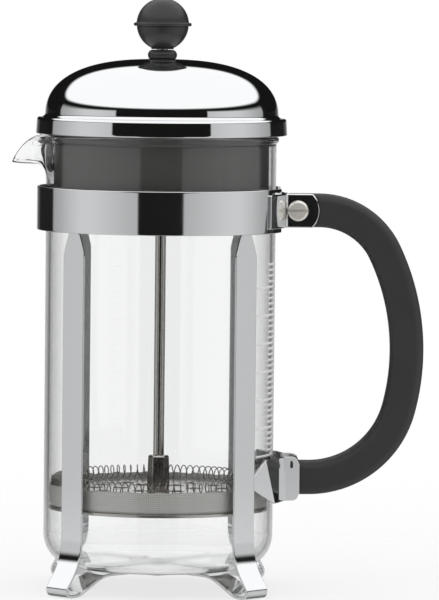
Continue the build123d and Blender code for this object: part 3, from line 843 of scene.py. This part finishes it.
class PRESS_OT_knob(PieceOperator, bpy.types.Operator):
    """Mould the knob's cap and base"""
    bl_idname = "press.knob"
    bl_label = "Knob"

    def execute(self, context):
        radius, ring_radius, ring = 11.0 * MM, 12.1 * MM, 1.4 * MM
        top = high("knob_cap")[2]
        middle = top - radius
        joint = middle - ring / 2
        edge_angle = np.arcsin(ring / 2 / radius)
        arc = [ball_point(radius, angle, middle) for angle in np.linspace(pi / 2, edge_angle + 0.04, 40)]
        rim = rounded([arc[-1], (radius + 0.1 * MM, middle + ring / 2), (ring_radius, middle + ring / 2),
                       (ring_radius, joint), (radius - 0.4 * MM, joint)], [0.3 * MM, 0.6 * MM, 0.6 * MM], 6)
        cap = np.concatenate([arc[:-1], rim, [(0, joint)]])
        turned("knob_top", cap, finish("knob_plastic"), "plunger", "knob_plastic", "knob_cap", segments=128)
        base_bottom = low("knob_base")[2]
        neck, base_radius, base_top = 4.7 * MM, radius - 0.12 * MM, joint - 0.05 * MM
        low_angle = -np.arccos(neck / radius)
        arc = [ball_point(base_radius, angle, middle) for angle in np.linspace(-edge_angle - 0.02, low_angle, 40)]
        foot = rounded([arc[-1], (neck, middle + base_radius * sin(low_angle) - 0.3 * MM), (neck, base_bottom),
                        (neck - 1.5 * MM, base_bottom)], [0.2 * MM, 0.4 * MM], 4)
        base = np.concatenate([[(0, base_top), (arc[0][0] - 0.3 * MM, base_top)], arc, foot[1:], [(0, base_bottom)]])
        turned("knob_bottom", base, finish("knob_plastic"), "plunger", "knob_plastic", "knob_base", segments=128)
        return {"FINISHED"}


class PRESS_OT_rod(PieceOperator, bpy.types.Operator):
    """Turn the rod and its hub"""
    bl_idname = "press.rod"
    bl_label = "Rod And Hub"

    def execute(self, context):
        bottom, top = low("plunger_rod")[2], high("plunger_rod")[2]
        radius = 2.25 * MM
        rod = loop_rounded([(0, bottom), (radius, bottom), (radius, top), (0, top)], [0, 0.3 * MM, 0.3 * MM, 0])
        turned("rod", rod, finish("rod_steel"), "plunger", "rod_steel", "plunger_rod", segments=48)
        points, faces = hub_surface()
        piece = add_piece("hub", points, faces, finish("rod_steel"), "plunger", 25)
        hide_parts("rod_hub")
        return {"FINISHED"}


def hub_surface():
    """The hub: a six-sided taper whose radius at each angle is that of a hexagon with rounded corners,
    scaled by a profile that narrows upwards and rounds in at the top."""
    bottom, top = low("rod_hub")[2], high("rod_hub")[2]
    wide = (high("rod_hub")[0] - low("rod_hub")[0]) / 2
    narrow = wide * 0.9
    profile = rounded([(0, bottom), (wide, bottom), (narrow, top), (2.26 * MM, top), (2.26 * MM, top - 1 * MM)],
                      [0.5 * MM, 1.6 * MM, 0.0], 8)
    angles = 2 * pi * np.arange(96) / 96
    around = (angles + pi / 6) % (pi / 3) - pi / 6
    hexagon = cos(pi / 6) / np.cos(np.abs(around) - pi / 6)
    hexagon = np.minimum(hexagon, 0.985)
    blend = np.clip((profile[:, 0] - 3.2 * MM) / (1.0 * MM), 0, 1)
    scale = 1 + (hexagon[:, None] - 1) * blend[None, :]
    points = polar(profile[None, :, 0] * scale, angles, profile[:, 1])
    return points, grid_faces(len(angles), len(profile), close_rows=True, close_columns=False)


class PRESS_OT_filter(PieceOperator, bpy.types.Operator):
    """Wind the edge spring, weave the mesh and stamp the plates"""
    bl_idname = "press.filter"
    bl_label = "Filter"

    def execute(self, context):
        sizes = context.scene.press_filter
        points, faces = spring_surface(sizes)
        spring = add_piece("coil", points, faces, finish("spring_steel"), "plunger", 80)
        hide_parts("edge_spring")
        mesh_piece()
        soften(merged_copy("upper_plate", "spiral_plate", "plunger", "filter_steel"), 0.2 * MM)
        soften(merged_copy("lower_plate", "cross_plate", "plunger", "filter_steel"), 0.25 * MM)
        return {"FINISHED"}


def spring_surface(sizes):
    """A closed coil: its middle line winds round a ring, at (R + c cos w) outwards and c sin w up, where w
    goes round once a turn, and a round wire is carried along it."""
    lo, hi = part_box("edge_spring")
    wire = sizes.wire / 2
    coil = (hi[2] - lo[2]) / 2 - wire
    ring = (hi[0] - lo[0]) / 2 - coil - wire
    middle = (hi[2] + lo[2]) / 2
    around = 2 * pi * np.arange(sizes.turns * 18) / (sizes.turns * 18)
    wind = around * sizes.turns
    wander = 0.05 * np.sin(7 * around) + 0.04 * np.sin(11 * around + 1)
    turn = around + wander / sizes.turns
    out = ring + coil * np.cos(wind)
    line = np.stack([AXIS_X + out * np.cos(turn), out * np.sin(turn), middle + coil * np.sin(wind)], axis=1)
    ahead = np.roll(line, -1, axis=0) - np.roll(line, 1, axis=0)
    ahead /= np.linalg.norm(ahead, axis=1)[:, None]
    core = np.stack([AXIS_X + ring * np.cos(turn), ring * np.sin(turn), np.full(len(turn), middle)], axis=1)
    first = line - core
    first -= (first * ahead).sum(axis=1)[:, None] * ahead
    first /= np.linalg.norm(first, axis=1)[:, None]
    second = np.cross(ahead, first)
    section = 2 * pi * np.arange(6) / 6
    points = line[:, None, :] + wire * (np.cos(section)[None, :, None] * first[:, None, :]
                                        + np.sin(section)[None, :, None] * second[:, None, :])
    return points, grid_faces(len(line), 6, close_rows=True)


def mesh_piece():
    """The mesh: a disc whose edge turns up into a skirt, with a slightly wavy top edge. Its UV map runs
    round the skirt and up it, and flat over the disc, in metres."""
    lo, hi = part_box("filter_mesh")
    radius = (hi[0] - lo[0]) / 2 - 0.15 * MM
    bottom, top = lo[2] + 0.1 * MM, hi[2]
    profile = rounded([(5 * MM, bottom), (radius, bottom), (radius, top - 0.4 * MM)], [1.6 * MM], 8)
    profile = even(profile, 0.0015)
    segments = 360
    angles = 2 * pi * np.arange(segments) / segments
    share = np.clip((profile[:, 1] - bottom) / (top - bottom), 0, 1) ** 3
    wave = (0.16 * np.sin(23 * angles) + 0.14 * np.sin(41 * angles + 2) + 0.1 * np.sin(67 * angles + 1)) * MM
    up = profile[None, :, 1] + wave[:, None] * share[None, :]
    points = polar(profile[:, 0], angles, up)
    faces = grid_faces(segments, len(profile), close_rows=True, close_columns=False)
    piece = add_piece("mesh", points, faces, finish("mesh_steel"), "plunger", 60)
    mesh = piece.data
    uv = mesh.uv_layers.new(name="weave")
    place = np.zeros(len(mesh.vertices) * 3)
    mesh.vertices.foreach_get("co", place)
    place = place.reshape(-1, 3) - [AXIS_X, 0, 0]
    loops = np.zeros(len(mesh.loops), dtype=np.int32)
    mesh.loops.foreach_get("vertex_index", loops)
    flat = place[loops]
    angle = np.arctan2(flat[:, 1], flat[:, 0]).reshape(-1, 4)
    angle = np.where(angle - angle[:, :1] > pi, angle - 2 * pi, angle)
    angle = np.where(angle - angle[:, :1] < -pi, angle + 2 * pi, angle).reshape(-1)
    on_skirt = np.hypot(flat[:, 0], flat[:, 1]) > radius - 1.7 * MM
    u = np.where(on_skirt, angle * radius, flat[:, 0])
    v = np.where(on_skirt, flat[:, 2], flat[:, 1])
    uv.data.foreach_set("uv", np.stack([u, v], axis=1).reshape(-1))
    thick = piece.modifiers.new("wire", "SOLIDIFY")
    thick.thickness, thick.offset = 0.12 * MM, 0.0
    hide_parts("filter_mesh")


class PRESS_OT_insert(PieceOperator, bpy.types.Operator):
    """Give the hidden insert its finish"""
    bl_idname = "press.insert"
    bl_label = "Knob Insert"

    def execute(self, context):
        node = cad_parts["knob_insert"]
        node.data.materials.clear()
        node.data.materials.append(finish("insert_brass"))
        return {"FINISHED"}


# ---------------------------------------------------------------- stage

class PRESS_OT_stage(PieceOperator, bpy.types.Operator):
    """Lay the floor, light the studio and place the camera"""
    bl_idname = "press.stage"
    bl_label = "Stage"

    def execute(self, context):
        lay_floor()
        studio_world()
        place_camera()
        context.scene.view_settings.view_transform = "Standard"
        return {"FINISHED"}


def lay_floor():
    """A pale disc under the object that fades out to the background."""
    radii = np.array([0.0, 0.2, 0.45, 0.9, 1.4])
    angles = 2 * pi * np.arange(96) / 96
    points = np.stack([np.outer(np.cos(angles), radii), np.outer(np.sin(angles), radii),
                       np.full((96, len(radii)), -0.0002)], axis=-1)
    mesh = bpy.data.meshes.new("floor")
    mesh.from_pydata(points.reshape(-1, 3).tolist(), [],
                     grid_faces(96, len(radii), close_rows=True, close_columns=False).tolist())
    floor = bpy.data.objects.new("floor", mesh)
    bpy.context.scene.collection.objects.link(floor)
    material, shader, tree = surface("pale_floor", (0.93, 0.93, 0.93), Roughness=0.9, Specular_IOR_Level=0.1)
    place = object_place(tree)
    reach = tree.nodes.new("ShaderNodeVectorMath")
    reach.operation = "LENGTH"
    tree.links.new(place, reach.inputs[0])
    tree.links.new(rise(tree, reach.outputs["Value"], 0.12, 0.6, 0.3, 0.0), shader.inputs["Alpha"])
    mesh.materials.append(material)


def ramp(tree, value, stops):
    """A colour ramp of grey stops on a value."""
    node = tree.nodes.new("ShaderNodeValToRGB")
    elements = node.color_ramp.elements
    while len(elements) > 1:
        elements.remove(elements[-1])
    elements[0].position = stops[0][0]
    elements[0].color = (stops[0][1],) * 3 + (1,)
    for place, grey in stops[1:]:
        element = elements.new(place)
        element.color = (grey,) * 3 + (1,)
    tree.links.new(value, node.inputs["Fac"])
    return node.outputs["Color"]


def rise(tree, value, start, stop, low_value=0.0, high_value=1.0, smooth=True):
    """A value's smooth rise from one level to another between two places, each a number or a socket."""
    node = tree.nodes.new("ShaderNodeMapRange")
    node.interpolation_type = "SMOOTHSTEP" if smooth else "LINEAR"
    tree.links.new(value, node.inputs["Value"])
    for label, setting in (("From Min", start), ("From Max", stop), ("To Min", low_value), ("To Max", high_value)):
        if isinstance(setting, (int, float)):
            node.inputs[label].default_value = setting
        else:
            tree.links.new(setting, node.inputs[label])
    return node.outputs["Result"]


# The side panels' brightness by degrees round from the camera
PANEL_TONES = [(0, 0.44), (30, 0.50), (44, 0.565), (56, 0.62), (68, 0.66), (80, 0.66), (93, 0.57), (105, 0.46),
               (118, 0.37), (120, 0.012), (150, 0.015), (161, 0.12), (173, 0.68), (180, 0.95)]


def studio_world():
    """A white studio. Straight views and soft light see plain white. Mirrors see the studio by direction:
    a bright box overhead, a dark gap under it, pale panels at both sides, a dark card behind the camera
    that narrows downwards, dark past the panels, and the white backdrop at the far side, low down. Light
    that has passed through both of the beaker's walls sees white. Light turned aside inside one wall, at the
    beaker's edges, can miss the backdrop and stay dark."""
    world = bpy.data.worlds.new("studio")
    bpy.context.scene.world = world
    world.use_nodes = True
    tree = world.node_tree
    tree.nodes.clear()
    coordinates = tree.nodes.new("ShaderNodeTexCoord")
    split = tree.nodes.new("ShaderNodeSeparateXYZ")
    tree.links.new(coordinates.outputs["Generated"], split.inputs["Vector"])
    x, y, z = split.outputs
    around = math_node(tree, "ABSOLUTE", math_node(tree, "ARCTAN2", x, math_node(tree, "MULTIPLY", y, -1.0)))
    around = math_node(tree, "DEGREES", around)
    height = math_node(tree, "DEGREES", math_node(tree, "ARCSINE", z))
    card_edge = rise(tree, height, 0.0, 4.0, 21.0, 46.0)
    past_card = rise(tree, math_node(tree, "SUBTRACT", around, card_edge), -1.0, 1.0)
    tones = ramp(tree, math_node(tree, "DIVIDE", around, 180.0), [(at / 180, tone) for at, tone in PANEL_TONES])
    under_gap = rise(tree, height, 9.0, 16.0, 1.0, 0.0)
    low_only = math_node(tree, "MAXIMUM", rise(tree, height, 0.5, 4.0, 1.0, 0.0),
                         rise(tree, around, 122.0, 130.0, 1.0, 0.0))
    panels = math_node(tree, "MULTIPLY", math_node(tree, "MULTIPLY", tones, past_card),
                       math_node(tree, "MULTIPLY", under_gap, low_only))
    box_edge = rise(tree, around, 112.0, 150.0, 21.5, 29.0)
    overhead = rise(tree, math_node(tree, "SUBTRACT", height, box_edge), -2.5, 2.5, 0.008, 1.1)
    mirror = math_node(tree, "MAXIMUM", panels, overhead)
    path = tree.nodes.new("ShaderNodeLightPath")
    both_walls = rise(tree, path.outputs["Transmission Depth"], 2.0, 3.0)
    unreflected = rise(tree, path.outputs["Glossy Depth"], 0.0, 1.0, 1.0, 0.0)
    straight = math_node(tree, "MAXIMUM", both_walls, rise(tree, around, 100.0, 114.0, 1.0, 0.0))
    straight = math_node(tree, "MULTIPLY", straight, unreflected)
    backdrop = math_node(tree, "MAXIMUM", straight, rise(tree, around, 142.0, 176.0))
    backdrop = math_node(tree, "MULTIPLY", backdrop, 0.98)
    through = math_node(tree, "MULTIPLY", path.outputs["Is Transmission Ray"], backdrop)
    seen = math_node(tree, "MAXIMUM", mirror, through)
    sharp = math_node(tree, "MAXIMUM", path.outputs["Is Glossy Ray"], path.outputs["Is Transmission Ray"])
    strength = rise(tree, sharp, 0.0, 1.0, 1.0, seen, smooth=False)
    background = tree.nodes.new("ShaderNodeBackground")
    tree.links.new(strength, background.inputs["Strength"])
    background.inputs["Color"].default_value = (1.0, 1.0, 1.0, 1.0)
    output = tree.nodes.new("ShaderNodeOutputWorld")
    tree.links.new(background.outputs["Background"], output.inputs["Surface"])


def place_camera():
    """A long lens a little above the table, looking at the middle of the object's height."""
    distance, height, side = 2.2, 0.258, radians(-0.45)
    target = Vector((AXIS_X + 0.02495, 0.0, 0.1213))
    spot = Vector((target.x + distance * sin(side), -distance * cos(side), height))
    camera = bpy.data.objects.new("camera", bpy.data.cameras.new("camera"))
    bpy.context.scene.collection.objects.link(camera)
    camera.data.lens = 315
    camera.data.sensor_width = 36
    camera.data.clip_start, camera.data.clip_end = 0.05, 50
    aim = (target - spot).to_track_quat("-Z", "Y").to_matrix().to_4x4()
    roll = Matrix.Rotation(radians(0.6), 4, "Z")
    camera.matrix_world = Matrix.Translation(spot) @ aim @ roll
    bpy.context.scene.camera = camera


# ---------------------------------------------------------------- panel and registration

STEPS = (PRESS_OT_stage, PRESS_OT_beaker, PRESS_OT_marks, PRESS_OT_band, PRESS_OT_straps, PRESS_OT_lugs,
         PRESS_OT_handle, PRESS_OT_lid, PRESS_OT_knob, PRESS_OT_rod, PRESS_OT_filter, PRESS_OT_insert)
SETTINGS = {"press_beaker": BeakerSizes, "press_cradle": CradleSizes, "press_lid": LidSizes,
            "press_filter": FilterSizes, "press_colours": Colours}


class PRESS_PT_panel(bpy.types.Panel):
    """Sizes, colours and build steps"""
    bl_idname = "PRESS_PT_panel"
    bl_label = "Press Coffee Maker"
    bl_space_type = "VIEW_3D"
    bl_region_type = "UI"
    bl_category = "Press Maker"

    def draw(self, context):
        for name, group in SETTINGS.items():
            box = self.layout.box()
            box.label(text=group.__doc__)
            for label in group.__annotations__:
                box.prop(getattr(context.scene, name), label)
        for step in STEPS:
            self.layout.operator(step.bl_idname)


def register():
    for item in (*SETTINGS.values(), *STEPS, PRESS_PT_panel):
        bpy.utils.register_class(item)
    for name, group in SETTINGS.items():
        setattr(bpy.types.Scene, name, PointerProperty(type=group))


def unregister():
    for name in SETTINGS:
        delattr(bpy.types.Scene, name)
    for item in reversed((*SETTINGS.values(), *STEPS, PRESS_PT_panel)):
        bpy.utils.unregister_class(item)


def main():
    register()
    for step in STEPS:
        family, action = step.bl_idname.split(".")
        getattr(getattr(bpy.ops, family), action)()


if __name__ == "__main__":
    main()
